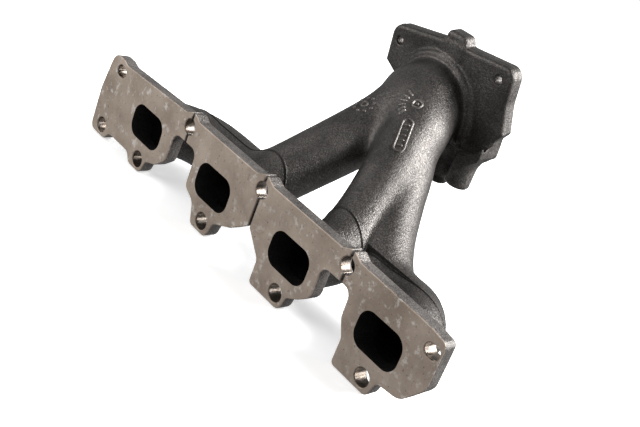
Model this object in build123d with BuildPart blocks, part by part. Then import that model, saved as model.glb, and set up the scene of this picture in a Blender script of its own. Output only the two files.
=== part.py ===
from build123d import *
import math
import os

os.makedirs("parts", exist_ok=True)

# Cast exhaust manifold for an in-line four. The origin is the middle of the port row on the
# machined head face: +X runs along the ports, +Y leads away from the head, +Z is up.

# Head flange: four pads in a row, parted by narrow expansion slits
PORT_PITCH = 86.0
PORT_X = [(i - 1.5) * PORT_PITCH for i in range(4)]
PORT_WIDTH = 37.3
PORT_HEIGHT = 24.9
PORT_CORNER = 9.3
PAD_THICKNESS = 11.0
STUD_HOLE_R = 6.0
TOP_HOLE_R = 5.75
LOWER_HOLE_Z = -25.9
TOP_HOLE_Z = 23.9
SLIT_X = [-84.0, 1.2, 88.0]
SLIT_WIDTH = 2.0
END_HOLE = (-182.6, LOWER_HOLE_Z)
END_SLOTS = [(-176.5, 21.0), (164.2, 18.7)]
SLOT_LENGTH = 11.5
SLOT_HEIGHT = 8.6

# Pipes
BORE_R = 15.5
RUNNER_R = 19.5
SIDE_Y = 44.0
SIDE_BEND = 33.0
RISE_START_Y = 34.0
RISE_BEND = 34.0
PARTING_Y = 42.0

# Outlet
OUTLET_TILT = 11.0
OUTLET_CENTRE = (-18.0, 148.9, 80.0)
OUTLET_BORE_R = 26.0
OUTLET_PLATE_THICKNESS = 10.0
COLLECTOR_R = 31.0
COLLECTOR_DEPTH = 14.0
COLLAR_R = 38.0
COLLAR_DEPTH = 7.0
TAPPED_HOLE_R = 3.4
TAPPED_HOLES = [(-61.0, 111.0), (34.0, 125.0)]
TAB_RISE = 138.4
LUG_DEPTH = 3.5
FRONT_BOSS = (29.0, 153.0)
FRONT_BOSS_R = 9.0
FRONT_BOSS_SPAN = (41.0, 64.0)
REAR_BOSS = (9.5, 156.0)
REAR_BOSS_R = 7.5
REAR_BOSS_SPAN = (34.0, 62.0)
BOSS_ROUNDING = 2.5
WEB_THICKNESS = 14.0
WEB_START = 0.58

head_face = Plane.XZ
left_end = Vector(-19, 126, 79)
right_end = Vector(-2, 130, 87)

tilt = math.radians(OUTLET_TILT)
outward = Vector(0, math.cos(tilt), math.sin(tilt))
plate_face = Plane(origin=OUTLET_CENTRE, x_dir=(1, 0, 0), z_dir=-outward)


def on_plate(x, z):
    """A point of the outlet plate, from its X and its height above the port row."""
    return (x - OUTLET_CENTRE[0], (z - OUTLET_CENTRE[2]) / math.cos(tilt))


def pipe(route, bends, radius):
    """A round bar along straight runs joined by tangent arcs."""
    with BuildPart() as bar:
        with BuildLine() as path:
            if bends:
                FilletPolyline(*route, radius=bends)
            else:
                Line(*route)
        with BuildSketch(Plane(origin=path.line @ 0, z_dir=path.line % 0)):
            Circle(radius)
        sweep()
    return bar.part


def finish(piece, name):
    piece.part.label = name
    export_step(piece.part, f"parts/{name}.step")


# Centre lines. Runners 2 and 3 rise straight off their ports. Runners 1 and 4 sweep in along
# the row beside them: 1 ends in the side of runner 2, and 4 climbs beside the right branch.
side_left = [(PORT_X[0], 0, 0), (PORT_X[0], SIDE_Y, -1), (PORT_X[1] - 2, SIDE_Y, -1)]
rise_left = [(PORT_X[1], 0, 0), (PORT_X[1] + 1, RISE_START_Y, -1), left_end]
rise_right = [(PORT_X[2], 0, 0), (PORT_X[2] + 8, RISE_START_Y + 1, 0), right_end]
side_right = [(PORT_X[3], 0, 0), (PORT_X[3] + 2, SIDE_Y, -1), (77, SIDE_Y + 2, -2), (10, 107, 64)]
side_right_bends = [SIDE_BEND, 30]

outer = [
    pipe(side_left, [SIDE_BEND], RUNNER_R),
    pipe(rise_left, [RISE_BEND], RUNNER_R),
    pipe(rise_right, [RISE_BEND], RUNNER_R + 0.5),
    pipe(side_right, side_right_bends, RUNNER_R),
]
bore = [
    pipe(side_left, [SIDE_BEND], BORE_R),
    pipe(rise_left, [RISE_BEND], BORE_R),
    pipe(rise_right, [RISE_BEND], BORE_R + 0.5),
    pipe(side_right, side_right_bends, BORE_R),
]

with BuildPart() as collector_outer:
    with BuildSketch(plate_face):
        Circle(COLLECTOR_R)
    extrude(amount=COLLECTOR_DEPTH)
    with Locations(plate_face.offset(COLLECTOR_DEPTH)):
        Sphere(COLLECTOR_R)
    split(bisect_by=plate_face, keep=Keep.TOP)

with BuildPart() as collector_bore:
    with BuildSketch(plate_face.offset(-OUTLET_PLATE_THICKNESS)):
        Circle(OUTLET_BORE_R)
    extrude(amount=OUTLET_PLATE_THICKNESS + COLLECTOR_DEPTH)
    with Locations(plate_face.offset(COLLECTOR_DEPTH)):
        Sphere(OUTLET_BORE_R)

# Pad outlines as (x, z, corner radius), each drawn clockwise from the pad's lower left. The
# slits stop at a stud hole, and between some pads a wide gap opens below them.
PAD_TOP = 31.4
PEAK_TOP = 35.0
half_slit = SLIT_WIDTH / 2
pad_outlines = [
    [
        (-196, -34, 6), (-196, 0, 20), (-190, 30.5, 8), (-177, 30, 4), (-171, 28, 4),
        (-92, PAD_TOP, 4), (SLIT_X[0] - half_slit, PEAK_TOP, 0.4),
        (SLIT_X[0] - half_slit, 12.5, 0.4), (-96.5, 12.5, 6), (-98.5, -11, 8), (-108, -19, 6),
        (-119, -23, 3), (-122.5, -34, 6), (-138.5, -34, 5), (-143, -27.3, 6), (-170, -27.5, 4),
        (-176, -34, 4),
    ],
    [
        (-70, -14, 6), (-70, 12.5, 6), (SLIT_X[0] + half_slit, 12.5, 0.4),
        (SLIT_X[0] + half_slit, PEAK_TOP, 0.4), (-76, PAD_TOP, 4), (-8, PAD_TOP, 4),
        (SLIT_X[1] - half_slit, PEAK_TOP, 0.4), (SLIT_X[1] - half_slit, -3, 0.4),
        (-14, -13.5, 8), (-31, -21, 4), (-34.5, -34, 6), (-53, -34, 4), (-58.5, -19, 6),
    ],
    [
        (18, -34.4, 3), (18, -17, 6), (SLIT_X[1] + half_slit, -3, 0.4),
        (SLIT_X[1] + half_slit, PEAK_TOP, 0.4), (10, PAD_TOP, 4), (79, PAD_TOP, 4),
        (SLIT_X[2] - half_slit, PEAK_TOP, 0.4), (SLIT_X[2] - half_slit, 12.5, 0.4), (71, 12.5, 6),
        (71, -11, 8), (62, -18, 6), (53, -23, 3), (50.5, -34.4, 6),
    ],
    [
        (104, -34.4, 3), (104, -16, 6), (98, -5, 8), (97, 12.5, 6),
        (SLIT_X[2] + half_slit, 12.5, 0.4), (SLIT_X[2] + half_slit, PEAK_TOP, 0.4),
        (96, PAD_TOP, 4), (158, 30, 30), (171.3, 28, 4.5), (171.3, -3, 10), (158, -20, 12),
        (140, -22, 4), (136.5, -34.4, 5),
    ],
]


def head_pad(outline, index):
    """One pad of the head flange, with its port, its stud holes and its share of the slit holes."""
    points = [(x, z) for x, z, _ in outline]
    radii = [radius for _, _, radius in outline]
    with BuildPart() as pad:
        with BuildSketch(head_face):
            with BuildLine():
                FilletPolyline(*points, radius=radii, close=True)
            make_face()
            with Locations((PORT_X[index], LOWER_HOLE_Z)):
                Circle(STUD_HOLE_R, mode=Mode.SUBTRACT)
            with Locations(*[(x, TOP_HOLE_Z) for x in SLIT_X]):
                Circle(TOP_HOLE_R, mode=Mode.SUBTRACT)
            with Locations(END_HOLE):
                Circle(TOP_HOLE_R, mode=Mode.SUBTRACT)
            with Locations(*END_SLOTS):
                SlotOverall(SLOT_LENGTH, SLOT_HEIGHT, mode=Mode.SUBTRACT)
        extrude(amount=-PAD_THICKNESS)
        with BuildSketch(head_face):
            with Locations((PORT_X[index], 0)):
                RectangleRounded(PORT_WIDTH, PORT_HEIGHT, PORT_CORNER)
        with BuildSketch(head_face.offset(-PAD_THICKNESS)):
            with Locations((PORT_X[index], 0)):
                Circle(BORE_R)
        loft(mode=Mode.SUBTRACT)
    return pad


for index, outline in enumerate(pad_outlines):
    finish(head_pad(outline, index), f"head_flange_{index + 1}")

behind_pads = head_face.offset(-PAD_THICKNESS)
parting = head_face.offset(-PARTING_Y)

with BuildPart() as runner_1:
    add(outer[0])
    split(bisect_by=behind_pads, keep=Keep.BOTTOM)
    add(outer[1], mode=Mode.SUBTRACT)
    add(bore[0], mode=Mode.SUBTRACT)
finish(runner_1, "runner_1")

with BuildPart() as runner_2:
    add(outer[1])
    split(bisect_by=behind_pads, keep=Keep.BOTTOM)
    split(bisect_by=parting, keep=Keep.TOP)
    add(bore[1], mode=Mode.SUBTRACT)
    add(bore[0], mode=Mode.SUBTRACT)
finish(runner_2, "runner_2")

with BuildPart() as left_branch:
    add(outer[1])
    split(bisect_by=parting, keep=Keep.BOTTOM)
    add(collector_outer.part, mode=Mode.SUBTRACT)
    add(bore[1], mode=Mode.SUBTRACT)
    add(bore[0], mode=Mode.SUBTRACT)
finish(left_branch, "left_branch")

with BuildPart() as runner_3:
    add(outer[2])
    split(bisect_by=behind_pads, keep=Keep.BOTTOM)
    split(bisect_by=parting, keep=Keep.TOP)
    add(bore[2], mode=Mode.SUBTRACT)
    add(bore[3], mode=Mode.SUBTRACT)
finish(runner_3, "runner_3")

with BuildPart() as right_branch:
    add(outer[2])
    split(bisect_by=parting, keep=Keep.BOTTOM)
    add(collector_outer.part, mode=Mode.SUBTRACT)
    add(outer[1], mode=Mode.SUBTRACT)
    add(bore[2], mode=Mode.SUBTRACT)
    add(bore[3], mode=Mode.SUBTRACT)
finish(right_branch, "right_branch")

with BuildPart() as runner_4:
    add(outer[3])
    split(bisect_by=behind_pads, keep=Keep.BOTTOM)
    add(outer[2], mode=Mode.SUBTRACT)
    add(bore[3], mode=Mode.SUBTRACT)
finish(runner_4, "runner_4")

with BuildPart() as collector:
    add(collector_outer.part)
    add(collector_bore.part, mode=Mode.SUBTRACT)
    add(bore[1], mode=Mode.SUBTRACT)
    add(bore[2], mode=Mode.SUBTRACT)
finish(collector, "collector")

with BuildPart() as outlet_collar:
    with BuildSketch(plate_face):
        Circle(COLLAR_R)
    with BuildSketch(plate_face.offset(COLLAR_DEPTH)):
        Circle(COLLECTOR_R)
    loft()
    add(collector_outer.part, mode=Mode.SUBTRACT)
    add(outer[1], mode=Mode.SUBTRACT)
    add(outer[2], mode=Mode.SUBTRACT)
finish(outlet_collar, "outlet_collar")

# Outlet plate: (x, z, corner radius) from its lower left corner, clockwise seen from the head.
plate_outline = [
    (-71, 92, 2), (-70.5, 121, 10), (-20, 130.5, 20), (45.5, 137, 8), (46, 112, 20), (50.5, 92, 3),
    (46, 86, 4), (45.5, 70, 6), (31, 58.5, 5), (16, 44, 12), (-18, 38, 26), (-46, 52, 20), (-56, 84, 8),
]

with BuildPart() as outlet_flange:
    with BuildSketch(plate_face):
        with BuildLine():
            corners = [on_plate(x, z) for x, z, _ in plate_outline]
            FilletPolyline(*corners, radius=[radius for _, _, radius in plate_outline], close=True)
        make_face()
        Circle(OUTLET_BORE_R, mode=Mode.SUBTRACT)
        with Locations(*[on_plate(x, z) for x, z in TAPPED_HOLES]):
            Circle(TAPPED_HOLE_R, mode=Mode.SUBTRACT)
    extrude(amount=-OUTLET_PLATE_THICKNESS)
finish(outlet_flange, "outlet_flange")

with BuildPart() as locating_tab:
    with BuildSketch(plate_face):
        with BuildLine():
            corners = [on_plate(x, z) for x, z in ((-20, 125), (-20, TAB_RISE), (-1, TAB_RISE), (1, 125))]
            FilletPolyline(*corners, radius=[1, 5, 5, 1], close=True)
        make_face()
    extrude(amount=-OUTLET_PLATE_THICKNESS)
    add(outlet_flange.part, mode=Mode.SUBTRACT)
finish(locating_tab, "locating_tab")

# A lip stands out of the plate's lower right corner, over the front boss.
lug_outline = [
    (18, 58, 3), (16, 67, 2), (33, 65.5, 12), (43, 77, 6), (44, 86, 0.4), (45.7, 86, 0.4),
    (45.5, 70, 6), (31, 58.5, 5),
]
with BuildPart() as lower_lug:
    with BuildSketch(plate_face):
        with BuildLine():
            corners = [on_plate(x, z) for x, z, _ in lug_outline]
            FilletPolyline(*corners, radius=[radius for _, _, radius in lug_outline], close=True)
        make_face()
    extrude(amount=LUG_DEPTH)
    add(outlet_collar.part, mode=Mode.SUBTRACT)
finish(lower_lug, "lower_lug")


def hanging_boss(place, radius, span, neighbours):
    """A round boss that hangs under the outlet, cut to fit the castings above it."""
    low, high = span
    with BuildPart() as boss:
        with BuildSketch(Plane.XY.offset(low)):
            with Locations(place):
                Circle(radius)
        extrude(amount=high - low)
        fillet(boss.edges().group_by(Axis.Z)[0], BOSS_ROUNDING)
        for neighbour in neighbours:
            add(neighbour, mode=Mode.SUBTRACT)
    with BuildPart() as trimmed:
        add(boss.part.solids().sort_by(SortBy.VOLUME)[-1])
    return trimmed


front_boss = hanging_boss(FRONT_BOSS, FRONT_BOSS_R, FRONT_BOSS_SPAN, [outlet_flange.part, lower_lug.part])
finish(front_boss, "front_boss")

above_rear = [outlet_flange.part, collector_outer.part, outlet_collar.part, front_boss.part]
rear_boss = hanging_boss(REAR_BOSS, REAR_BOSS_R, REAR_BOSS_SPAN, above_rear)
finish(rear_boss, "rear_boss")

# A web fills the fork between the two branches. It lies in the plane of their centre lines.
fork_left = Vector(*rise_left[1])
fork_right = Vector(*rise_right[1])
fork_plane = Plane(
    origin=fork_left,
    x_dir=fork_right - fork_left,
    z_dir=(fork_right - fork_left).cross(left_end - fork_left),
)
web_corners = [
    fork_left + (left_end - fork_left) * WEB_START,
    fork_right + (right_end - fork_right) * WEB_START,
    right_end,
    left_end,
]
with BuildPart() as fork_web:
    with BuildSketch(fork_plane):
        with BuildLine():
            local = [fork_plane.to_local_coords(corner) for corner in web_corners]
            Polyline(*[(corner.X, corner.Y) for corner in local], close=True)
        make_face()
    extrude(amount=WEB_THICKNESS / 2, both=True)
    for neighbour in (outer[1], outer[2], outer[3], collector_outer.part):
        add(neighbour, mode=Mode.SUBTRACT)
finish(fork_web, "fork_web")
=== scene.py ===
import math

import bmesh
import bpy
import numpy as np
from mathutils import Matrix, Vector

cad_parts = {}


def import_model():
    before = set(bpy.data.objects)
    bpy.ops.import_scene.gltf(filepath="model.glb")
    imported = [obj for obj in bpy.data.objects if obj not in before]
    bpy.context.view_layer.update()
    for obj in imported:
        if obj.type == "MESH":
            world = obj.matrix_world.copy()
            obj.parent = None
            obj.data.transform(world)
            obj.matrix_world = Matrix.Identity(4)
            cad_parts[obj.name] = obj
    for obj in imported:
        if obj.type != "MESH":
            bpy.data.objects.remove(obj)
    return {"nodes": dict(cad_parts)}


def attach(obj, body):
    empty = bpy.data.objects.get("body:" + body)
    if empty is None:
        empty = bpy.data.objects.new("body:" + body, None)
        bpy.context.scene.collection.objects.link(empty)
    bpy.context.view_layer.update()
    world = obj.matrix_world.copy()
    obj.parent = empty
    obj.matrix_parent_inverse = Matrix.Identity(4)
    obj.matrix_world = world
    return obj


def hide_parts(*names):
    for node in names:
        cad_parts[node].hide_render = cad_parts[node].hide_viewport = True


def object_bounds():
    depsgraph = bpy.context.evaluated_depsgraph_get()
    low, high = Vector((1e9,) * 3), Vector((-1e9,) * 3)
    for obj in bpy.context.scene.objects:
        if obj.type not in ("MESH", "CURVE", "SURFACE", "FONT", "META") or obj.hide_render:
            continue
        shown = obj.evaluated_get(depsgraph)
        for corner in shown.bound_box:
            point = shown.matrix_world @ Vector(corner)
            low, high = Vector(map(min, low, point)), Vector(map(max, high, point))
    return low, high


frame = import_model()
cad_low, cad_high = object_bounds()
MM = 0.001

# ---------------------------------------------------------------- driving dimensions, mm
# X runs along the ports, Y away from the cylinder head, Z up; the origin is on the head face.
PORT_PITCH = 86.0
PORT_X = [(i - 1.5) * PORT_PITCH for i in range(4)]
PORT_HALF_WIDTH = 18.65
PORT_HALF_HEIGHT = 12.45
PORT_CORNER = 9.3
PORT_DEPTH = 20.0
PIPE_R = 19.5
PAD_THICKNESS = 11.0
PAD_DRAFT = 0.03
PAD_ROUND = 3.0
STUD_HOLE_R = 6.0
TOP_HOLE_R = 5.75
LOWER_HOLE_Z = -25.9
SLIT_X = [-84.0, 1.2, 88.0]
TOP_HOLE_Z = 23.9
END_HOLE = (-182.6, LOWER_HOLE_Z)
END_SLOTS = [(-176.5, 21.0), (164.2, 18.7)]
SLOT_LENGTH = 11.5
SLOT_HEIGHT = 8.6
WALL = 4.0
CHAMFER = 0.5

# The outlet plate, and the ledge, cove and bosses under it. A boss is (x, y, radius, bottom, top).
OUTLET_TILT = math.radians(11.0)
OUTLET_CENTRE = np.array((-18.0, 148.9, 80.0))
OUTWARD = np.array((0.0, math.cos(OUTLET_TILT), math.sin(OUTLET_TILT)))
PLATE_UP = np.array((0.0, -math.sin(OUTLET_TILT), math.cos(OUTLET_TILT)))
PLATE_THICKNESS = 10.0
PLATE_ROUND = 3.5
PLATE_SEAM_HEIGHT = 0.3
PLATE_SEAM_WIDTH = 0.7
OUTLET_BORE_R = 26.0
TAPPED_HOLE_R = 3.4
TAPPED_HOLES = [(-61.0, 111.0), (34.0, 125.0)]
TAPPED_DEPTH = 12.0
TAB_CENTRE = (7.5, 50.0)
TAB_HALF = (10.0, 9.6)
TAB_CORNER = 5.0
TAB_ROUND = 4.0
LEDGE_DEPTH = 9.0
LEDGE_LEFT = 28.0
LEDGE_TOP = 92.0
FRONT_BOSS = (29.0, 153.0, 9.0, 41.0, 80.0)
REAR_BOSS = (9.5, 156.0, 7.5, 34.0, 66.0)
BOSS_ROUND = 4.0
COVE_CENTRE = (28.0, 91.4)
COVE_R = 24.0
COVE_ROUND = 13.0
COVE_FLOOR = 2.0
COVE_TAPER = 0.6
COVE_LEFT = 8.5
LIP_HALF = 1.2

# The neck between the branches and the plate, with the raised ring round its foot
NECK_SHIFT = (2.5, 2.5)
NECK_R = 29.5
NECK_FLARE = 6.0
NECK_LENGTH = 20.0
NECK_SHOULDER = 16.0
NECK_ROUND = 10.0
NECK_REACH = 30.0
CHAMBER_TAPER = 3.5
CHAMBER_DEPTH = 14.0
BORE_START = 14.0
RIB_R = 36.6
RIB_HALF = 2.3
RIB_SINK = 0.5
RIB_BOTTOM = -12.0

# The mould's parting line: a fine ridge, with painted shade in a dark band along its head side
SEAM_Y = 40.5
SEAM_HEIGHT = 0.45
SEAM_SHADE = 0.5

# Over how many millimetres the casting's features flow into each other
LEFT_PIPES_BLEND = 9.0
RIGHT_PIPES_BLEND = 3.0
BRANCH_BLEND = 14.0
NECK_BLEND = 9.0
PAD_BLEND = 6.0
PLATE_BLEND = 7.0
TAB_BLEND = 3.0
LEDGE_BLEND = 6.0
LEDGE_EDGE = 1.0
COVE_EDGE = 0.8
LIP_BLEND = 1.2
LUG_BLEND = 2.5
RIB_BLEND = 2.0
TUBE_BLEND = 1.2
BORE_BLEND = 3.0
CHAMBER_BLEND = 4.0

# Centre lines with radii, (x, y, z, r), of the four pipes; the second and third run up to the neck
TUBE_1 = [
    (-129, -6, 0, 19.5), (-129, 18, 0, 19.5), (-121, 32, 0, 19.5), (-105, 42, -1, 19.5),
    (-86, 44, -1, 19.5), (-66, 44, -1, 19.5), (-46, 44, 0, 19.5),
]
TUBE_2 = [
    (-43, -6, 0, 19.5), (-43, 22, 0, 19.5), (-41, 38, 4, 19), (-37, 52, 14, 19.5), (-31, 71, 30, 20),
    (-26, 91, 46, 20.5), (-22, 111, 63, 20.5), (-19, 130, 79, 23),
]
TUBE_3 = [
    (43, -6, 0, 19.5), (43.5, 22, 0, 20), (44, 38, 4, 20.5), (41.5, 50.5, 13, 20), (36, 64, 26.5, 19.5),
    (28, 79, 41.5, 19.5), (19.2, 95, 56.5, 20), (9, 113, 73, 22), (-6, 131, 86, 24),
]
TUBE_4 = [
    (129, -6, 0, 19.5), (129, 17, 0, 19.5), (125, 31, 0, 20.5), (112, 43, 0, 21), (93, 47, 0, 20),
    (78, 52, 4, 18.5), (60.6, 64.7, 17.3, 17), (42.6, 81.7, 34.3, 17), (28.6, 96.6, 49.2, 17),
    (16, 109, 63, 16),
]

# Grid steps, and the distances past which a feature's field isn't worked out
PADS_CELL = 0.6
CAST_CELL = 0.9
OUTLET_CELL = 0.75
COARSEN = 1.0
FAR = 1e3
TUBE_REACH = 26.0
TUBE_SPARE = 5.0
FEATURE_REACH = 14.0
PLATE_REACH = 40.0
ON_PLANE = 1e-3


# ---------------------------------------------------------------- signed distance fields
def smooth_min(a, b, k):
    """Union of two fields, blended over about k millimetres."""
    h = np.maximum(k - np.abs(a - b), 0.0) / k
    return np.minimum(a, b) - h * h * k * 0.25


def smooth_max(a, b, k):
    """Overlap of two fields, blended over about k millimetres."""
    return -smooth_min(-a, -b, k)


def smooth_route(stations, spacing=4.0):
    """Catmull-Rom curve through the stations, sampled about every few millimetres."""
    knots = np.array(stations, float)
    knots = np.vstack([2 * knots[0] - knots[1], knots, 2 * knots[-1] - knots[-2]])
    out = []
    for a, b, c, d in zip(knots, knots[1:], knots[2:], knots[3:]):
        steps = max(1, round(np.linalg.norm(c[:3] - b[:3]) / spacing))
        for t in np.arange(steps) / steps:
            curve = 2 * b + (c - a) * t + (2 * a - 5 * b + 4 * c - d) * t**2
            out.append(0.5 * (curve + (3 * b - a - 3 * c + d) * t**3))
    return np.array(out + [knots[-2]])


def tube(points, route):
    """Distance from a pipe whose radius changes along its centre line."""
    starts, ends = route[:-1], route[1:]
    spans = ends[:, :3] - starts[:, :3]
    middle = (points.min(0) + points.max(0)) / 2
    reach = np.linalg.norm(points.max(0) - middle)
    along = np.clip(((middle - starts[:, :3]) * spans).sum(1) / (spans**2).sum(1), 0.0, 1.0)
    gaps = np.linalg.norm(middle - starts[:, :3] - along[:, None] * spans, axis=1)
    gaps -= np.maximum(starts[:, 3], ends[:, 3])
    if gaps.min() - reach > TUBE_REACH:
        return np.full(len(points), FAR)
    best = np.full(len(points), FAR)
    for i in np.flatnonzero(gaps - reach < gaps.min() + reach + TUBE_SPARE):
        start, span = starts[i], spans[i]
        along = np.clip((points - start[:3]) @ span / (span @ span), 0.0, 1.0)
        gap = np.linalg.norm(points - start[:3] - along[:, None] * span, axis=1)
        best = smooth_min(best, gap - start[3] - along * (ends[i, 3] - start[3]), TUBE_BLEND)
    return best


def rounded_box_2d(u, v, half_u, half_v, radius):
    """Distance from a flat rectangle with round corners."""
    du = np.abs(u) - (half_u - radius)
    dv = np.abs(v) - (half_v - radius)
    outside = np.hypot(np.maximum(du, 0.0), np.maximum(dv, 0.0))
    return outside + np.minimum(np.maximum(du, dv), 0.0) - radius


class Outline:
    """The flat outline of a CAD node, as a 2-D distance field on a fine grid."""

    def __init__(self, node, origin, u_axis, v_axis, normal, step=0.4, margin=10.0):
        self.step = step
        loop = self.longest_loop(node, *(np.array(row) for row in (origin, u_axis, v_axis, normal)))
        self.low = loop.min(0) - margin
        count = np.ceil((loop.max(0) + margin - self.low) / step).astype(int) + 1
        u, v = np.meshgrid(*(self.low[i] + step * np.arange(count[i]) for i in (0, 1)), indexing="ij")
        best = np.full(u.shape, FAR)
        inside = np.zeros(u.shape, bool)
        for (au, av), (bu, bv) in zip(loop, np.roll(loop, -1, axis=0)):
            du, dv = bu - au, bv - av
            along = np.clip(((u - au) * du + (v - av) * dv) / (du * du + dv * dv), 0.0, 1.0)
            best = np.minimum(best, np.hypot(u - au - along * du, v - av - along * dv))
            if av != bv:
                inside ^= ((av > v) != (bv > v)) & (u < au + (v - av) * du / dv)
        self.grid = np.where(inside, -best, best)

    @staticmethod
    def longest_loop(node, origin, u_axis, v_axis, normal):
        """The outermost edge loop of the node's flat face through the origin."""
        mesh = frame["nodes"][node].data
        points = np.array([v.co for v in mesh.vertices], float) / MM - origin
        flat = np.abs(points @ normal) < 0.02
        keys = [tuple(np.round(p, 2)) for p in points]
        where = {key: p for key, p in zip(keys, points)}
        open_edges = {}
        for face in mesh.polygons:
            corners = list(face.vertices)
            if all(flat[i] for i in corners):
                for i, j in zip(corners, corners[1:] + corners[:1]):
                    pair = (keys[j], keys[i])
                    if pair in open_edges:
                        del open_edges[pair]
                    else:
                        open_edges[(keys[i], keys[j])] = True
        following = dict(open_edges.keys())
        loops = []
        while following:
            first, at = following.popitem()
            loop = [first]
            while at != first:
                loop.append(at)
                at = following.pop(at)
            loops.append(np.array([(where[k] @ u_axis, where[k] @ v_axis) for k in loop]))
        return max(loops, key=lambda loop: np.ptp(loop[:, 0]) * np.ptp(loop[:, 1]))

    def near(self, u, v):
        """Whether any of the points lie over the grid."""
        far_side = self.low + self.step * np.array(self.grid.shape)
        over_u = u.max() > self.low[0] and u.min() < far_side[0]
        return over_u and v.max() > self.low[1] and v.min() < far_side[1]

    def __call__(self, u, v):
        """Distance from the outline, read off the grid."""
        i = (u - self.low[0]) / self.step
        j = (v - self.low[1]) / self.step
        ic = np.clip(i, 0.0, self.grid.shape[0] - 1.001)
        jc = np.clip(j, 0.0, self.grid.shape[1] - 1.001)
        beyond = np.hypot(i - ic, j - jc) * self.step
        i0, j0 = ic.astype(int), jc.astype(int)
        fi, fj = ic - i0, jc - j0
        lower = self.grid[i0, j0] * (1 - fi) + self.grid[i0 + 1, j0] * fi
        upper = self.grid[i0, j0 + 1] * (1 - fi) + self.grid[i0 + 1, j0 + 1] * fi
        return lower * (1 - fj) + upper * fj + beyond


pad_outlines = [
    Outline(f"head_flange_{i + 1}", (0, 0, 0), (1, 0, 0), (0, 0, 1), (0, 1, 0)) for i in range(4)
]
plate_outline = Outline("outlet_flange", OUTLET_CENTRE, (1, 0, 0), PLATE_UP, OUTWARD)
routes = [smooth_route(stations) for stations in (TUBE_1, TUBE_2, TUBE_3, TUBE_4)]


def plate_place(points):
    """Right, up and outward distances from the outlet's centre on the plate's near face."""
    away = points - OUTLET_CENTRE
    return away[:, 0], away @ PLATE_UP, away @ OUTWARD


def pads(points):
    """The four pads: the CAD outlines, with draft, a chamfered face and a rounded far edge."""
    x, y, z = points.T
    flat = np.full(len(points), FAR)
    if y.min() > PAD_THICKNESS + FEATURE_REACH:
        return flat
    for outline in pad_outlines:
        if outline.near(x, z):
            flat = np.minimum(flat, outline(x, z))
    edge = flat + PAD_DRAFT * y + np.maximum(CHAMFER - y, 0.0)
    return smooth_max(edge, y - PAD_THICKNESS, PAD_ROUND)


def pad_holes(points):
    """Stud holes through the pads, with a small chamfer at the machined face."""
    x, y, z = points.T
    field = np.full(len(points), FAR)
    if y.min() > PAD_THICKNESS + FEATURE_REACH:
        return field
    for hx in PORT_X:
        field = np.minimum(field, np.hypot(x - hx, z - LOWER_HOLE_Z) - STUD_HOLE_R)
    for hx, hz in [(hx, TOP_HOLE_Z) for hx in SLIT_X] + [END_HOLE]:
        field = np.minimum(field, np.hypot(x - hx, z - hz) - TOP_HOLE_R)
    for hx, hz in END_SLOTS:
        slot = rounded_box_2d(x - hx, z - hz, SLOT_LENGTH / 2, SLOT_HEIGHT / 2, SLOT_HEIGHT / 2)
        field = np.minimum(field, slot)
    return np.maximum(field - np.maximum(CHAMFER - y, 0.0), y - PAD_THICKNESS - PAD_BLEND)


def port_mouths(points):
    """Each port narrows from a rounded rectangle at the face to the round bore behind."""
    x, y, z = points.T
    field = np.full(len(points), FAR)
    if y.min() > PORT_DEPTH + FEATURE_REACH:
        return field
    depth = np.clip(y / PORT_DEPTH, 0.0, 1.0)
    for px in PORT_X:
        mouth = rounded_box_2d(x - px, z, PORT_HALF_WIDTH, PORT_HALF_HEIGHT, PORT_CORNER)
        throat = np.hypot(x - px, z) - (PIPE_R - WALL)
        field = np.minimum(field, mouth * (1 - depth) + throat * depth)
    return np.maximum(field, y - PORT_DEPTH - 1.0)


def outlet_neck(points):
    """The chamber that gathers both branches, flared out onto the plate."""
    u, w, s = plate_place(points)
    radius = np.hypot(u - NECK_SHIFT[0], w - NECK_SHIFT[1])
    radius = radius - NECK_FLARE * np.clip(1.0 + s / NECK_LENGTH, 0.0, 1.0) ** 2
    below = np.minimum(s + NECK_SHOULDER, 0.0)
    shell = np.hypot(np.maximum(radius - NECK_R + NECK_ROUND, 0.0), below) - NECK_ROUND
    barrel = np.maximum(radius - NECK_R, s - PLATE_THICKNESS / 2)
    rounded = np.maximum(barrel, np.where(s < -NECK_SHOULDER, shell, barrel))
    return np.maximum(rounded, -s - NECK_REACH)


def upright_bar(points, x, y, radius, bottom, top):
    """A vertical round bar with a rounded lower edge."""
    wall = np.hypot(points[:, 0] - x, points[:, 1] - y) - radius
    ends = np.maximum(bottom - points[:, 2], points[:, 2] - top)
    return smooth_max(wall, ends, BOSS_ROUND)


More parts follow.
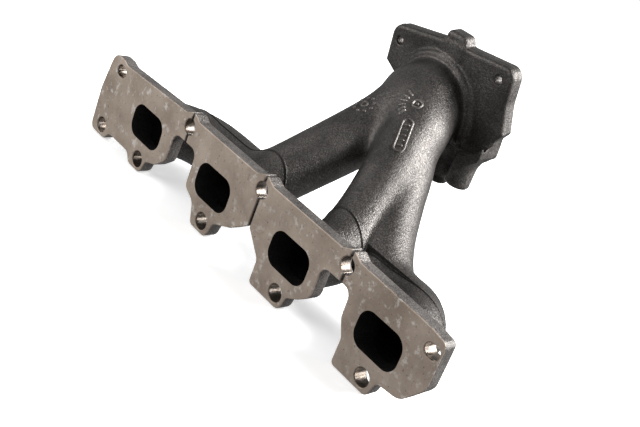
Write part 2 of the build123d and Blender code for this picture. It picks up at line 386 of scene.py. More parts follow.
def outlet_plate(points):
    """The outlet plate with its tab, its ledge over the front boss and both bosses."""
    x, y, z = points.T
    u, w, s = plate_place(points)
    if s.max() < -PLATE_REACH:
        return np.full(len(points), FAR)
    parting = ((s - PLATE_THICKNESS / 2) / PLATE_SEAM_WIDTH) ** 2
    side = plate_outline(u, w) - PLATE_SEAM_HEIGHT * np.exp(-parting)
    plate = smooth_max(side, -s, PLATE_ROUND)
    tab = rounded_box_2d(u - TAB_CENTRE[0], w - TAB_CENTRE[1], *TAB_HALF, TAB_CORNER)
    plate = smooth_min(plate, smooth_max(tab, -s, TAB_ROUND), TAB_BLEND)

    # The ledge stands out over the front boss. A cove hollows it and runs into the plate.
    ledge = np.maximum(side, s - 1.5 * COVE_FLOOR)
    ledge = np.maximum(ledge, np.maximum(LEDGE_LEFT - x, z - LEDGE_TOP))
    ledge = smooth_max(ledge, -s - LEDGE_DEPTH, LEDGE_EDGE)
    lug = smooth_min(ledge, upright_bar(points, *FRONT_BOSS), LEDGE_BLEND)
    ring = np.hypot(x - COVE_CENTRE[0], z - COVE_CENTRE[1])
    ring = ring - COVE_TAPER * np.maximum(z - COVE_CENTRE[1] + COVE_ROUND, 0.0)
    floor_r = COVE_R - COVE_ROUND
    cove = np.hypot(np.maximum(ring - floor_r, 0.0), np.maximum(s + COVE_ROUND - COVE_FLOOR, 0.0))
    cove = cove - COVE_ROUND
    lug = smooth_max(lug, -cove, COVE_EDGE)
    lip = np.hypot(ring - COVE_R + LIP_HALF, s + LEDGE_DEPTH - LIP_HALF) - LIP_HALF
    lip = np.maximum(np.maximum(lip, side), COVE_CENTRE[0] - COVE_LEFT - x)
    lug = smooth_min(lug, lip, LIP_BLEND)
    plate = smooth_min(plate, lug, LUG_BLEND)
    return smooth_min(plate, upright_bar(points, *REAR_BOSS), BOSS_ROUND)


def pipes(points):
    """The outsides of the left and the right pair of pipes."""
    tubes = [tube(points, route) for route in routes]
    left = smooth_min(tubes[0], tubes[1], LEFT_PIPES_BLEND)
    right = smooth_min(tubes[2], tubes[3], RIGHT_PIPES_BLEND)
    return left, right


def passages(points, left, right):
    """The gas's way: port mouths, the pipes' bores, and the chamber up to the outlet."""
    u, w, s = plate_place(points)
    radius = np.hypot(u, w)
    radius = radius + CHAMBER_TAPER * np.clip(-s / PLATE_THICKNESS, 0.0, 1.0)
    chamber = np.hypot(radius, np.minimum(s + CHAMBER_DEPTH, 0.0)) - OUTLET_BORE_R
    bores = smooth_min(left + WALL, right + WALL, BORE_BLEND)
    bores = np.maximum(bores, BORE_START - points[:, 1])
    return np.minimum(smooth_min(bores, chamber, CHAMBER_BLEND), port_mouths(points))


def tapped_hole_gap(u, w):
    """Distance from the nearer tapped hole's axis, along the plate."""
    gap = np.full(len(u), FAR)
    for hx, hz in TAPPED_HOLES:
        hu, hw = hx - OUTLET_CENTRE[0], (hz - OUTLET_CENTRE[2]) / math.cos(OUTLET_TILT)
        gap = np.minimum(gap, np.hypot(u - hu, w - hw))
    return gap


def casting(points):
    """Signed distance of the whole casting, in millimetres."""
    left, right = pipes(points)
    body = smooth_min(left, right, BRANCH_BLEND)
    body = smooth_min(body, outlet_neck(points), NECK_BLEND)
    body = smooth_min(body, pads(points), PAD_BLEND)
    body = smooth_min(body, outlet_plate(points), PLATE_BLEND)
    u, w, s = plate_place(points)
    radius = np.hypot(u - NECK_SHIFT[0], w - NECK_SHIFT[1])
    rib = np.hypot(radius - RIB_R, s + RIB_SINK) - RIB_HALF
    body = smooth_min(body, np.maximum(rib, RIB_BOTTOM - w), RIB_BLEND)
    tapped = np.maximum(tapped_hole_gap(u, w) - TAPPED_HOLE_R, -s - TAPPED_DEPTH)
    body = np.maximum(body, -np.minimum(tapped, pad_holes(points)))
    return np.maximum(body, -passages(points, left, right))


def evaluate(points, group=26.0):
    """The casting's field, worked out group by group of neighbouring points."""
    span = 1024
    cells = np.floor(points / group).astype(int) + span // 2
    keys = (cells[:, 0] * span + cells[:, 1]) * span + cells[:, 2]
    order = np.argsort(keys, kind="stable")
    field = np.empty(len(points))
    for members in np.split(order, np.flatnonzero(np.diff(keys[order])) + 1):
        field[members] = casting(points[members])
    return field


# ---------------------------------------------------------------- meshing
def sample(low, high, planes, cell):
    """The casting's field on a grid, worked out finely only near the surface to be kept."""
    block = 8
    counts = np.ceil((high - low) / (cell * block)).astype(int)
    blocks = np.stack(np.meshgrid(*(np.arange(c) for c in counts), indexing="ij"), -1).reshape(-1, 3)
    middle = low + (blocks + 0.5) * block * cell
    reach = block * cell * 0.5 * math.sqrt(3)
    kept = np.ones(len(blocks), bool)
    for point, normal in planes:
        kept &= (middle - point) @ np.array(normal) < reach + 2 * cell
    coarse = np.full(len(blocks), FAR)
    coarse[kept] = evaluate(middle[kept])
    grid = np.repeat(np.repeat(np.repeat(coarse.reshape(counts), block, 0), block, 1), block, 2)
    # Blends bend the field a little, so blocks somewhat past their own reach count too
    close = np.abs(coarse) < reach * 1.15 + 1.5
    inner = np.stack(np.meshgrid(*(np.arange(block),) * 3, indexing="ij"), -1).reshape(-1, 3)
    index = (blocks[close][:, None, :] * block + inner[None]).reshape(-1, 3)
    grid[tuple(index.T)] = evaluate(low + index * cell)
    return grid


def surface_net(grid, low, cell):
    """Vertices and quads of the grid's zero surface."""
    solid = grid < 0
    corners = [(i, j, k) for i in (0, 1) for j in (0, 1) for k in (0, 1)]
    window = tuple(n - 1 for n in grid.shape)

    def corner(array, c):
        """Every cell's value at one of its eight corners."""
        return array[c[0] : c[0] + window[0], c[1] : c[1] + window[1], c[2] : c[2] + window[2]]

    filled = sum(corner(solid, c).astype(np.int8) for c in corners)
    cells = np.argwhere((filled > 0) & (filled < 8))
    number = np.full(window, -1)
    number[tuple(cells.T)] = np.arange(len(cells))
    value = np.stack([grid[tuple((cells + c).T)] for c in corners], 1)
    total = np.zeros((len(cells), 3))
    hits = np.zeros(len(cells))
    for a, ca in enumerate(corners):
        for b, cb in enumerate(corners):
            if b > a and sum(abs(p - q) for p, q in zip(ca, cb)) == 1:
                crossed = (value[:, a] < 0) != (value[:, b] < 0)
                va, vb = value[crossed, a], value[crossed, b]
                total[crossed] += np.array(ca) + (va / (va - vb))[:, None] * (np.array(cb) - ca)
                hits[crossed] += 1
    vertices = low + (cells + total / hits[:, None]) * cell

    quads = []
    for axis in range(3):
        first, second = [i for i in range(3) if i != axis]
        here = [slice(1, n - 1) for n in grid.shape]
        here[axis] = slice(0, grid.shape[axis] - 1)
        there = list(here)
        there[axis] = slice(1, grid.shape[axis])
        change = solid[tuple(here)].astype(np.int8) - solid[tuple(there)].astype(np.int8)
        for sign in (1, -1):
            edge = np.argwhere(change == sign) + [s.start for s in here]
            around = []
            for df, ds in ((-1, -1), (0, -1), (0, 0), (-1, 0)):
                place = edge.copy()
                place[:, first] += df
                place[:, second] += ds
                around.append(number[tuple(place.T)])
            ring = np.stack(around, 1)
            quads.append(ring if (sign > 0) == (axis != 1) else ring[:, ::-1])
    return vertices, np.vstack(quads)


def slopes(points, step=0.05):
    """The field and its gradient at the points."""
    shifts = np.vstack([np.zeros(3), np.eye(3)])
    value, *shifted = evaluate(np.concatenate([points + step * shift for shift in shifts])).reshape(4, -1)
    return value, (np.stack(shifted, 1) - value[:, None]) / step


def settle(vertices, cell):
    """Moves the vertices onto the exact surface."""
    limit = 0.7 * cell
    for _ in range(2):
        value, slope = slopes(vertices)
        move = -slope * (value / np.maximum((slope**2).sum(1), 0.25))[:, None]
        length = np.linalg.norm(move, axis=1)
        vertices = vertices + move * np.minimum(1.0, limit / np.maximum(length, 1e-9))[:, None]
    return vertices


def ends_of(edges):
    """The edges' end points, each once and always in the same order."""
    return list(dict.fromkeys(v for edge in edges for v in edge.verts))


def raise_seam(rim):
    """Draws the mould's parting line out of the cast surface as a fine ridge."""
    corners = ends_of(rim)
    points = np.array([v.co for v in corners])
    slope = slopes(points)[1]
    slope_x, slope_z = slope[:, 0], slope[:, 2]
    left, right = pipes(points)
    outside = passages(points, left, right) > WALL / 2
    length = np.maximum(np.hypot(slope_x, slope_z), 0.5)
    for vertex, x, z, size, outer in zip(corners, slope_x, slope_z, length, outside):
        if outer:
            vertex.co += Vector((x, 0.0, z)) * (SEAM_HEIGHT / size)


def open_rim(bm, point, normal):
    """The open edges that lie in a cut plane."""
    point, normal = Vector(point), Vector(normal)
    rim = [e for e in bm.edges if len(e.link_faces) == 1]
    return [e for e in rim if all(abs((v.co - point).dot(normal)) < ON_PLANE for v in e.verts)]


def make_piece(name, low, high, planes, cell):
    """A closed mesh of the casting's part inside the planes, given as (point, outward normal)."""
    margin = 3.5 * cell
    low = np.array(low, float) - margin
    grid = sample(low, np.array(high, float) + margin, planes, cell)
    for axis in range(3):
        # An empty layer all round closes the surface outside the cut planes
        layers = np.moveaxis(grid, axis, 0)
        layers[[0, -1]] = cell
    vertices, quads = surface_net(grid, low, cell)
    vertices = settle(vertices, cell)
    mesh = bpy.data.meshes.new(name)
    mesh.from_pydata(vertices.tolist(), [], quads.tolist())
    bm = bmesh.new()
    bm.from_mesh(mesh)
    for point, normal in planes:
        bmesh.ops.bisect_plane(
            bm, geom=bm.verts[:] + bm.edges[:] + bm.faces[:], dist=1e-4,
            plane_co=point, plane_no=normal, clear_outer=True,
        )
        rim = open_rim(bm, point, normal)
        if rim:
            bmesh.ops.remove_doubles(bm, verts=ends_of(rim), dist=0.06 * cell)
            rim = open_rim(bm, point, normal)
            cap = bmesh.ops.triangle_fill(bm, edges=rim, use_beauty=True, normal=normal)["geom"]
            for face in (f for f in cap if isinstance(f, bmesh.types.BMFace)):
                # The cap's outside is the cut plane's outer side
                face.normal_update()
                if face.normal.dot(Vector(normal)) < 0:
                    face.normal_flip()
            if abs(normal[1]) == 1.0 and point[1] == SEAM_Y:
                raise_seam(rim)
            for edge in rim:
                edge.smooth = False
    loose = [v for v in bm.verts if not v.link_faces]
    bmesh.ops.delete(bm, geom=loose, context="VERTS")
    for face in bm.faces:
        face.smooth = True
    bmesh.ops.scale(bm, vec=(MM,) * 3, verts=bm.verts[:])
    bm.to_mesh(mesh)
    bm.free()
    piece = bpy.data.objects.new(name, mesh)
    bpy.context.scene.collection.objects.link(piece)
    return piece


# ---------------------------------------------------------------- the pieces
# The casting is one surface. Each piece is the part of it inside a few boxes, whose faces are
# cut planes, and inside any further planes. Pieces meet face to face, as the CAD nodes do. A
# box's other sides stand clear of the casting. The fork's plane runs between the two branches,
# and the crease's plane lies in the groove between runner 4 and the right branch. NECK_START,
# COLLAR_START and PLATE_START are distances from the plate's near face.
PAD_CUT = PAD_THICKNESS + 1.0
NECK_START = -24.0
COLLAR_START = -12.0
PLATE_START = -0.8
FORK_POINT = np.array((-4.0, 93.0, 0.0))
FORK_NORMAL = np.array((0.977, 0.215, 0.0))
FORK_HALF = 4.0
CREASE_POINT = (44.0, 64.0, 23.5)
CREASE_NORMAL = (0.754, 0.647, 0.11)
MERGE_Y = 84.0
TAB_FOOT = 51.5
TAB_SPAN = (-4.0, 19.5)
LUG_X = 19.0
LUG_TOP = 92.0
FRONT_BOSS_TOP = 56.0
REAR_BOSS_TOP = 40.0


def before(distance):
    """Keeps what lies on the head's side of this distance from the plate's near face."""
    return (OUTLET_CENTRE + OUTWARD * distance, OUTWARD)


def beyond(distance):
    """Keeps what lies past this distance from the plate's near face."""
    return (OUTLET_CENTRE + OUTWARD * distance, -OUTWARD)


def side_of_fork(offset, sign):
    """Keeps one side of the fork's middle plane: the left with +1, the right with -1."""
    return (FORK_POINT + FORK_NORMAL * offset, FORK_NORMAL * sign)


def pad_span(index):
    """The box of one pad, from slit to slit."""
    bounds = [-200.0, *SLIT_X, 175.0]
    return (bounds[index], 0.0, -40.0), (bounds[index + 1], PAD_CUT, 40.0)


crease = (CREASE_POINT, CREASE_NORMAL)
past_crease = (CREASE_POINT, tuple(-n for n in CREASE_NORMAL))
below_tab = (OUTLET_CENTRE + PLATE_UP * TAB_FOOT, PLATE_UP)
above_tab = (OUTLET_CENTRE + PLATE_UP * TAB_FOOT, -PLATE_UP)
plate_planes = [beyond(PLATE_START), before(PLATE_THICKNESS)]
collar_planes = [beyond(COLLAR_START), before(PLATE_START)]
tab_left, tab_right = (OUTLET_CENTRE[0] + along for along in TAB_SPAN)

PIECES = {
    f"head_flange_{i + 1}": (PADS_CELL, [(*pad_span(i), [])]) for i in range(4)
}
PIECES |= {
    "runner_1": (CAST_CELL, [
        ((-155, PAD_CUT, -28), (-62, SEAM_Y, 30), []),
        ((-155, SEAM_Y, -28), (-62, 70, 30), []),
    ]),
    "runner_2": (CAST_CELL, [((-62, PAD_CUT, -28), (-4, SEAM_Y, 34), [])]),
    "left_branch": (CAST_CELL, [
        ((-62, SEAM_Y, -28), (20, 140, 115), [side_of_fork(-FORK_HALF, 1), before(NECK_START)]),
    ]),
    "runner_3": (CAST_CELL, [((-4, PAD_CUT, -28), (66, SEAM_Y, 34), [])]),
    "right_branch": (CAST_CELL, [
        ((-4, SEAM_Y, -28), (100, MERGE_Y, 75), [side_of_fork(FORK_HALF, -1), crease]),
        ((-20, MERGE_Y, 10), (75, 140, 120), [side_of_fork(FORK_HALF, -1), before(NECK_START)]),
    ]),
    "runner_4": (CAST_CELL, [
        ((66, PAD_CUT, -28), (158, SEAM_Y, 30), []),
        ((10, SEAM_Y, -28), (158, MERGE_Y, 75), [past_crease]),
    ]),
    "fork_web": (CAST_CELL, [
        ((-30, SEAM_Y, 5), (20, 140, 115), [
            side_of_fork(-FORK_HALF, -1), side_of_fork(FORK_HALF, 1), before(NECK_START),
        ]),
    ]),
    "collector": (CAST_CELL, [
        ((-62, 105, 35), (40, 150, 130), [beyond(NECK_START), before(COLLAR_START)]),
    ]),
    "outlet_collar": (OUTLET_CELL, [
        ((-66, 120, 30), (LUG_X, 165, 135), collar_planes),
        ((LUG_X, 120, LUG_TOP), (50, 165, 135), collar_planes),
    ]),
    "outlet_flange": (OUTLET_CELL, [
        ((-80, 130, REAR_BOSS_TOP), (LUG_X, 180, 145), [*plate_planes, below_tab]),
        ((LUG_X, 130, FRONT_BOSS_TOP), (60, 180, 145), [*plate_planes, below_tab]),
        ((tab_right, 130, 120), (60, 180, 145), [*plate_planes, above_tab]),
    ]),
    "locating_tab": (OUTLET_CELL, [
        ((tab_left, 120, 120), (tab_right, 180, 145), [above_tab, before(PLATE_THICKNESS)]),
    ]),
    "lower_lug": (OUTLET_CELL, [
        ((LUG_X, 120, FRONT_BOSS_TOP), (60, 165, LUG_TOP), collar_planes),
    ]),
    "front_boss": (OUTLET_CELL, [
        ((LUG_X, 135, 30), (50, 175, FRONT_BOSS_TOP), [before(PLATE_THICKNESS)]),
    ]),
    "rear_boss": (OUTLET_CELL, [
        ((-15, 135, 30), (LUG_X, 175, REAR_BOSS_TOP), [before(PLATE_THICKNESS)]),
    ]),
}


def box_planes(low, high):
    """The six faces of a box, as cut planes."""
    planes = []
    for axis in range(3):
        normal = np.eye(3)[axis]
        planes += [(low, tuple(-normal)), (high, tuple(normal))]
    return planes


def join_meshes(name, parts):
    """One object from several; the parts are removed."""
    bm = bmesh.new()
    for part in parts:
        bm.from_mesh(part.data)
        bpy.data.objects.remove(part)
    mesh = bpy.data.meshes.new(name)
    bm.to_mesh(mesh)
    bm.free()
    whole = bpy.data.objects.new(name, mesh)
    bpy.context.scene.collection.objects.link(whole)
    return whole


pieces = {}
for node, (cell, boxes) in PIECES.items():
    parts = [
        make_piece(f"{node}_cast", low, high, box_planes(low, high) + planes, cell * COARSEN)
        for low, high, planes in boxes
    ]
    pieces[node] = join_meshes(f"{node}_cast", parts) if len(parts) > 1 else parts[0]

for node, piece in pieces.items():
    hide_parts(node)
    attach(piece, "root")


# ---------------------------------------------------------------- raised casting marks
# The real marks are left out. These stand in their places: plain dots, bars and rims.
MARK_STEP = 0.35
MARK_HEIGHT = 1.0
MARK_EDGE = 0.4
MARK_PULL = 6.0


def spot(u, v, at, radius):
    """Distance from a round spot."""
    return np.hypot(u - at[0], v - at[1]) - radius


def bar(u, v, start, end, half):
    """Distance from a bar with round ends."""
    du, dv = end[0] - start[0], end[1] - start[1]
    along = np.clip(((u - start[0]) * du + (v - start[1]) * dv) / (du * du + dv * dv), 0.0, 1.0)
    return np.hypot(u - start[0] - along * du, v - start[1] - along * dv) - half


def polar(radius, degrees):
    """The flat point at this radius and angle."""
    return radius * math.cos(math.radians(degrees)), radius * math.sin(math.radians(degrees))


def dot_ring(u, v):
    """Nine dots round a small circle."""
    field = np.abs(spot(u, v, (0, 0), 2.4)) - 0.5
    for k in range(9):
        field = np.minimum(field, spot(u, v, polar(7.2, 40 * k), 1.1))
    return field


def fan(u, v):
    """Six short bars spread round a circle with a dot in it."""
    field = np.abs(spot(u, v, (0, 0), 3.3)) - 0.6
    field = np.minimum(field, spot(u, v, (0, 0), 1.0))
    for k in range(6):
        angle = 162 + 18 * k
        field = np.minimum(field, bar(u, v, polar(9.5, angle), polar(14.5, angle), 0.75))
    return field


def cartouche(u, v):
    """Five plain ticks in a long rounded frame."""
    field = np.abs(bar(u, v, (-9.5, 0), (9.5, 0), 3.6)) - 0.5
    for k in range(5):
        field = np.minimum(field, bar(u, v, (4 * k - 8, -1.2), (4 * k - 8, 1.2), 0.6))
    return field


# Each mark has its shape, its place, the direction of its u axis, and how far it reaches.
MARKS = {
    "ring": (dot_ring, (-27.0, 92.0, 76.0), (1.0, 0.0, 0.0), 10.0),
    "fan": (fan, (9.0, 103.0, 92.0), (1.0, 0.0, 0.0), 15.0),
    "cartouche": (cartouche, (21.2, 86.0, 75.5), (-13.5, 16.0, 17.0), 15.0),
}


def mark(name, shape, place, along, reach):
    """A thin closed shell that follows the casting, raised where the shape is filled."""
    place = settle(settle(np.array([place]), MARK_PULL), MARK_PULL)
    normal = slopes(place)[1][0]
    normal /= np.linalg.norm(normal)
    axis_u = np.array(along) - normal * (np.array(along) @ normal)
    axis_u /= np.linalg.norm(axis_u)
    axis_v = np.cross(normal, axis_u)
    ticks = np.arange(-reach, reach, MARK_STEP)
    u, v = (grid.ravel() for grid in np.meshgrid(ticks, ticks, indexing="ij"))
    field = shape(u, v)
    used = field < 4 * MARK_STEP
    points = place + u[used, None] * axis_u + v[used, None] * axis_v
    points = settle(settle(points, MARK_PULL), MARK_PULL)
    normals = slopes(points)[1]
    normals /= np.linalg.norm(normals, axis=1)[:, None]
    rises = [MARK_HEIGHT, 0.4 * MARK_HEIGHT, -0.3]
    rise = np.interp(field[used], [-MARK_EDGE, 0.0, MARK_EDGE], rises)
    top = points + normals * rise[:, None]
    bottom = points - normals
    number = np.full(len(u), -1)
    number[used] = np.arange(used.sum())
    number = number.reshape(len(ticks), len(ticks))
    deep = (field < MARK_STEP).reshape(number.shape)
    kept = deep[:-1, :-1] | deep[1:, :-1] | deep[1:, 1:] | deep[:-1, 1:]
    below = len(points)
    quads = []
    for i, j in np.argwhere(kept):
        ring = [number[i, j], number[i + 1, j], number[i + 1, j + 1], number[i, j + 1]]
        quads.append(ring)
        quads.append([n + below for n in reversed(ring)])
        sides = [(i, j - 1), (i + 1, j), (i, j + 1), (i - 1, j)]
        for k, (a, b) in enumerate(sides):
            if not kept[a, b]:
                first, second = ring[k], ring[(k + 1) % 4]
                quads.append([second, first, first + below, second + below])
    mesh = bpy.data.meshes.new(name)
    mesh.from_pydata((np.vstack([top, bottom]) * MM).tolist(), [], quads)
    bm = bmesh.new()
    bm.from_mesh(mesh)
    bmesh.ops.delete(bm, geom=[v for v in bm.verts if not v.link_faces], context="VERTS")
    for face in bm.faces:
        face.smooth = True
    bm.to_mesh(mesh)
    bm.free()
    made = bpy.data.objects.new(name, mesh)
    bpy.context.scene.collection.objects.link(made)
    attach(made, "root")
    return made


marks = [mark(f"casting_mark_{name}", *values) for name, values in MARKS.items()]


# ---------------------------------------------------------------- materials
def add_node(tree, kind, **values):
    """A node with its settings and its inputs' values."""
    made = tree.nodes.new(kind)
    for key, value in values.items():
        if hasattr(made, key):
            setattr(made, key, value)
        else:
            made.inputs[key].default_value = value
    return made


def new_material(name, metallic):
    """A material with a Principled shader on its output: material, tree and shader."""
    made = bpy.data.materials.new(name)
    made.use_nodes = True
    tree = made.node_tree
    tree.nodes.clear()
    out = tree.nodes.new("ShaderNodeOutputMaterial")
    shader = add_node(tree, "ShaderNodeBsdfPrincipled", Metallic=metallic)
    tree.links.new(shader.outputs["BSDF"], out.inputs["Surface"])
    return made, tree, shader


def connect(tree, shader, colour, rough, normal):
    tree.links.new(colour, shader.inputs["Base Color"])
    tree.links.new(rough, shader.inputs["Roughness"])
    tree.links.new(normal, shader.inputs["Normal"])


def noise(tree, scale, detail=3.0, roughness=0.55):
    """Noise fixed to the piece; the scale is per metre."""
    place = tree.nodes.get("place") or tree.nodes.new("ShaderNodeTexCoord")
    place.name = "place"
    made = add_node(tree, "ShaderNodeTexNoise", Scale=scale, Detail=detail, Roughness=roughness)
    tree.links.new(place.outputs["Object"], made.inputs["Vector"])
    return made.outputs["Fac"]


def ramp(tree, source, *stops):
    """A colour ramp; each stop is a place with a colour or a grey."""
    made = tree.nodes.new("ShaderNodeValToRGB")
    while len(made.color_ramp.elements) < len(stops):
        made.color_ramp.elements.new(0.5)
    for element, (place, colour) in zip(made.color_ramp.elements, stops):
        element.position = place
        element.color = (*colour, 1.0) if len(colour) == 3 else (colour[0],) * 3 + (1.0,)
    tree.links.new(source, made.inputs["Fac"])
    return made.outputs["Color"]


def mix(tree, factor, a, b, blend="MIX"):
    """Colour a, with colour b over it by the factor."""
    made = add_node(tree, "ShaderNodeMix", data_type="RGBA", blend_type=blend)
    for socket, value in (("Factor", factor), ("A", a), ("B", b)):
        if isinstance(value, float):
            made.inputs[socket].default_value = value
        elif isinstance(value, tuple):
            made.inputs[socket].default_value = (*value, 1.0)
        else:
            tree.links.new(value, made.inputs[socket])
    return made.outputs["Result"]


def bump(tree, source, strength, distance, under=None):
    """A bump of the source, laid over the one under it."""
    made = add_node(tree, "ShaderNodeBump", Strength=strength, Distance=distance)
    tree.links.new(source, made.inputs["Height"])
    if under:
        tree.links.new(under, made.inputs["Normal"])
    return made.outputs["Normal"]


def seam_shade_band(tree):
    """One in a thin band on the head's side of the mould's parting plane, where painted shade lies beside
    the seam's ridge, and nought elsewhere.
    """
    split = tree.nodes.new("ShaderNodeSeparateXYZ")
    tree.links.new(tree.nodes["place"].outputs["Object"], split.inputs["Vector"])
    away = add_node(tree, "ShaderNodeMath", operation="SUBTRACT")
    away.inputs[1].default_value = (SEAM_Y - SEAM_SHADE) * MM
    tree.links.new(split.outputs["Y"], away.inputs[0])
    size = add_node(tree, "ShaderNodeMath", operation="ABSOLUTE")
    tree.links.new(away.outputs["Value"], size.inputs[0])
    scaled = add_node(tree, "ShaderNodeMath", operation="MULTIPLY")
    scaled.inputs[1].default_value = 1.0 / (2.0 * SEAM_SHADE * MM)
    tree.links.new(size.outputs["Value"], scaled.inputs[0])
    return ramp(tree, scaled.outputs["Value"], (0.35, (1.0,)), (0.7, (0.0,)))


def cast_iron(name="cast_iron", light=1.0, metallic=0.75, painted_seam_shade=True):
    """Sand-cast iron: dark warm grey, with a fine sparkling grain."""
    made, tree, shader = new_material(name, metallic)
    # light scales the colour: the darker copies are painted shade and the lighter ones painted light.
    colour = ramp(
        tree, noise(tree, 45.0),
        (0.35, tuple(c * light for c in (0.050, 0.046, 0.043))),
        (0.65, tuple(c * light for c in (0.090, 0.083, 0.078))),
    )
    grain = noise(tree, 1100.0, 2.0, 0.7)
    colour = mix(tree, 1.0, colour, ramp(tree, grain, (0.42, (0.66,)), (0.66, (1.7,))), "MULTIPLY")
    # Painted shade: a near-black band just beside the parting line's ridge.
    if painted_seam_shade:
        colour = mix(tree, seam_shade_band(tree), colour, (0.012, 0.011, 0.010))
    rough = ramp(tree, noise(tree, 700.0, 2.0), (0.35, (0.34,)), (0.65, (0.50,)))
    normal = bump(tree, noise(tree, 330.0, 2.0, 0.5), 0.4, 0.0006)
    connect(tree, shader, colour, rough, bump(tree, grain, 0.9, 0.0004, normal))
    return made


def machined_face(name="machined_face", light=1.0):
    """A milled sealing face, lightly stained, with pale splashes, freckles and small pits."""
    made, tree, shader = new_material(name, 0.55)
    mottle = noise(tree, 42.0, 5.0, 0.6)
    colour = ramp(tree, mottle, (0.3, (0.33, 0.262, 0.212)), (0.7, (0.50, 0.415, 0.345)))
    stain = ramp(tree, noise(tree, 13.0, 3.0), (0.52, (0.0,)), (0.72, (0.55,)))
    colour = mix(tree, stain, colour, (0.24, 0.185, 0.14))
    patches = ramp(tree, noise(tree, 20.0, 2.0), (0.36, (0.15,)), (0.56, (1.0,)))
    splash = ramp(tree, noise(tree, 150.0, 4.0, 0.65), (0.56, (0.0,)), (0.64, (0.9,)))
    colour = mix(tree, mix(tree, 1.0, splash, patches, "MULTIPLY"), colour, (0.66, 0.62, 0.57))
    freckles = ramp(tree, noise(tree, 650.0, 2.0, 0.6), (0.62, (0.0,)), (0.70, (0.6,)))
    colour = mix(tree, freckles, colour, (0.60, 0.56, 0.51))
    pits = ramp(tree, noise(tree, 480.0, 2.0, 0.6), (0.30, (0.8,)), (0.37, (0.0,)))
    colour = mix(tree, pits, colour, (0.12, 0.095, 0.08))
    colour = mix(tree, 1.0, colour, (light, light, light), "MULTIPLY")
    rough = ramp(tree, noise(tree, 90.0, 3.0), (0.3, (0.42,)), (0.7, (0.58,)))
    connect(tree, shader, colour, rough, bump(tree, noise(tree, 600.0, 3.0), 0.25, 0.0002))
    return made


def drilled_wall_painted_shade():
    """The smooth bare wall of a drilled hole, its metal darkened as painted shade inside the hole."""
    made, tree, shader = new_material("drilled_wall_painted_shade", 0.9)
    # These dark brown tones are painted shade inside the holes and the bore; the bare metal's shine and
    # smoothness are its own.
    colour = ramp(tree, noise(tree, 160.0), (0.35, (0.13, 0.105, 0.085)), (0.7, (0.24, 0.21, 0.185)))
    rough = ramp(tree, noise(tree, 300.0), (0.3, (0.26,)), (0.7, (0.42,)))
    connect(tree, shader, colour, rough, bump(tree, noise(tree, 900.0), 0.3, 0.0002))
    return made


CAST, FACE, DRILLED, INSIDE_SHADED, PAD_WALLS_LIT, MARKS_LIT, GASKET = range(7)
# The marks' copy of the cast iron, 2.2 times as bright, is a painted highlight on the raised marks.
# The pad walls' copy of the cast iron, 1.8 times as bright, is painted light falling on the pads.
# The passages' copy of the cast iron, at 0.15 of its brightness, is painted shade in the hollows.
slots = [
    cast_iron(), machined_face(), drilled_wall_painted_shade(), cast_iron("cast_iron_inside_painted_shade", 0.15, 0.3, False),
    cast_iron("cast_iron_pad_walls_painted_light", 1.8, 0.6, False), cast_iron("cast_iron_marks_painted_highlight", 2.2, 0.75, False),
    machined_face("gasket_face", 0.3),
]


# How near a feature, in millimetres, a face's centre lies to take that feature's finish
NEAR_PASSAGE = 0.4
NEAR_HOLE = 0.3
NEAR_TAPPED_HOLE = 0.4
NEAR_BORE = 0.5
NEAR_GASKET = 0.05


def dress(piece):
    """Gives each face the finish of its place on the casting."""
    mesh = piece.data
    for made in slots:
        mesh.materials.append(made)
    count = len(mesh.polygons)
    centre = np.empty(count * 3)
    normal = np.empty(count * 3)
    mesh.polygons.foreach_get("center", centre)
    mesh.polygons.foreach_get("normal", normal)
    centre = centre.reshape(-1, 3) / MM
    normal = normal.reshape(-1, 3)
    u, w, s = plate_place(centre)
    # Faces on the pads take the lightened copy of the cast iron: painted light.
    finish = np.where(centre[:, 1] < PAD_THICKNESS, PAD_WALLS_LIT, CAST)
    left, right = pipes(centre)
    # Faces inside the passages take the darkened copy of the cast iron: painted shade.
    finish[passages(centre, left, right) < NEAR_PASSAGE] = INSIDE_SHADED
    drilled = (pad_holes(centre) < NEAR_HOLE) & (centre[:, 1] < PAD_THICKNESS + 0.5)
    finish[drilled] = DRILLED
    front = (centre[:, 1] < CHAMFER) | ((centre[:, 1] < 0.6) & (normal[:, 1] < -0.5))
    finish[front & (normal[:, 1] < -0.3)] = FACE
    gasket = (s > PLATE_THICKNESS - NEAR_GASKET) & (normal @ OUTWARD > 0.9)
    finish[gasket] = GASKET
    bore = (s > -1.0) & (np.abs(np.hypot(u, w) - OUTLET_BORE_R) < NEAR_BORE)
    finish[bore & ~gasket] = DRILLED
    tapped = tapped_hole_gap(u, w) < TAPPED_HOLE_R + NEAR_TAPPED_HOLE
    finish[tapped & (s < PLATE_THICKNESS - 0.1)] = CAST
    mesh.polygons.foreach_set("material_index", finish.astype(np.int32))
    mesh.update()


for piece in pieces.values():
    dress(piece)
# The raised marks take the lightened copy of the cast iron: painted highlight.
for made in marks:
    made.data.materials.append(slots[MARKS_LIT])


# ---------------------------------------------------------------- floor, light and camera
FLOOR_SIZE = 6.0
FLOOR_GAP = 0.0005
LENS = 58.98
SENSOR_WIDTH = 36.0
CAMERA_PLACE = (0.430, -0.4316, 0.2833)
# The camera's right, up and back directions
CAMERA_AXES = ((0.605, 0.720, 0.339), (-0.518, 0.033, 0.855), (0.604, -0.693, 0.393))


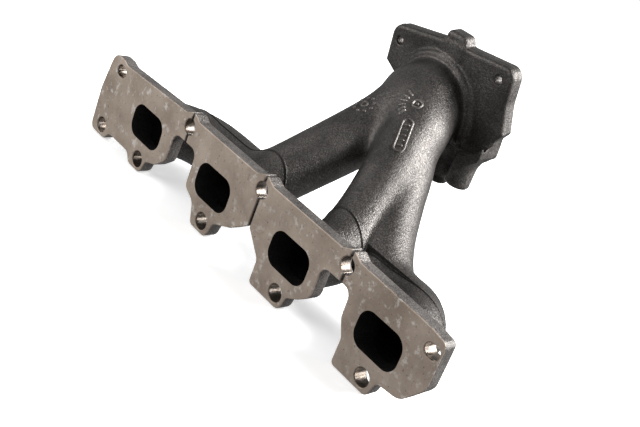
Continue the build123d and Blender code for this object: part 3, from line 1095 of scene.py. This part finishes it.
def add_floor(depth):
    """A pale floor that neither lights the part nor shows in it."""
    bm = bmesh.new()
    bmesh.ops.create_grid(bm, x_segments=8, y_segments=8, size=FLOOR_SIZE)
    mesh = bpy.data.meshes.new("floor")
    bm.to_mesh(mesh)
    bm.free()
    made = bpy.data.objects.new("floor", mesh)
    made.location.z = depth
    bpy.context.scene.collection.objects.link(made)
    pale, _, shader = new_material("pale_floor", 0.0)
    shader.inputs["Roughness"].default_value = 0.9
    shader.inputs["Base Color"].default_value = (0.92, 0.92, 0.92, 1.0)
    shader.inputs["Specular IOR Level"].default_value = 0.1
    shader.inputs["Emission Color"].default_value = (1.0, 1.0, 1.0, 1.0)
    shader.inputs["Emission Strength"].default_value = 0.5
    mesh.materials.append(pale)
    made.visible_diffuse = False
    made.visible_glossy = False


def add_light(name, place, size, power, target=(0.0, 0.08, 0.04)):
    """A soft rectangular lamp turned towards the target."""
    light = bpy.data.lights.new(name, "AREA")
    light.shape = "RECTANGLE"
    light.size, light.size_y = size
    light.energy = power
    made = bpy.data.objects.new(name, light)
    made.location = place
    toward = Vector(target) - Vector(place)
    made.rotation_mode = "QUATERNION"
    made.rotation_quaternion = toward.to_track_quat("-Z", "Y")
    bpy.context.scene.collection.objects.link(made)


add_floor(cad_low.z - FLOOR_GAP)
add_light("key", (0.92, 0.8, 0.95), (1.0, 0.9), 82.0)
add_light("side", (1.1, 1.2, 0.03), (0.6, 0.5), 12.0)
add_light("front", (-0.6, -0.7, 0.35), (0.8, 0.6), 7.0)

world = bpy.data.worlds.new("studio")
world.use_nodes = True
world.node_tree.nodes["Background"].inputs["Color"].default_value = (1.0, 1.0, 1.0, 1.0)
world.node_tree.nodes["Background"].inputs["Strength"].default_value = 0.34
bpy.context.scene.world = world
bpy.context.scene.view_settings.view_transform = "Standard"

camera_data = bpy.data.cameras.new("camera")
camera_data.sensor_width = SENSOR_WIDTH
camera_data.lens = LENS
camera = bpy.data.objects.new("camera", camera_data)
right, up, back = (Vector(axis).normalized() for axis in CAMERA_AXES)
turn = Matrix((right, up, back)).transposed().to_4x4()
camera.matrix_world = Matrix.Translation(CAMERA_PLACE) @ turn
bpy.context.scene.collection.objects.link(camera)
bpy.context.scene.camera = camera
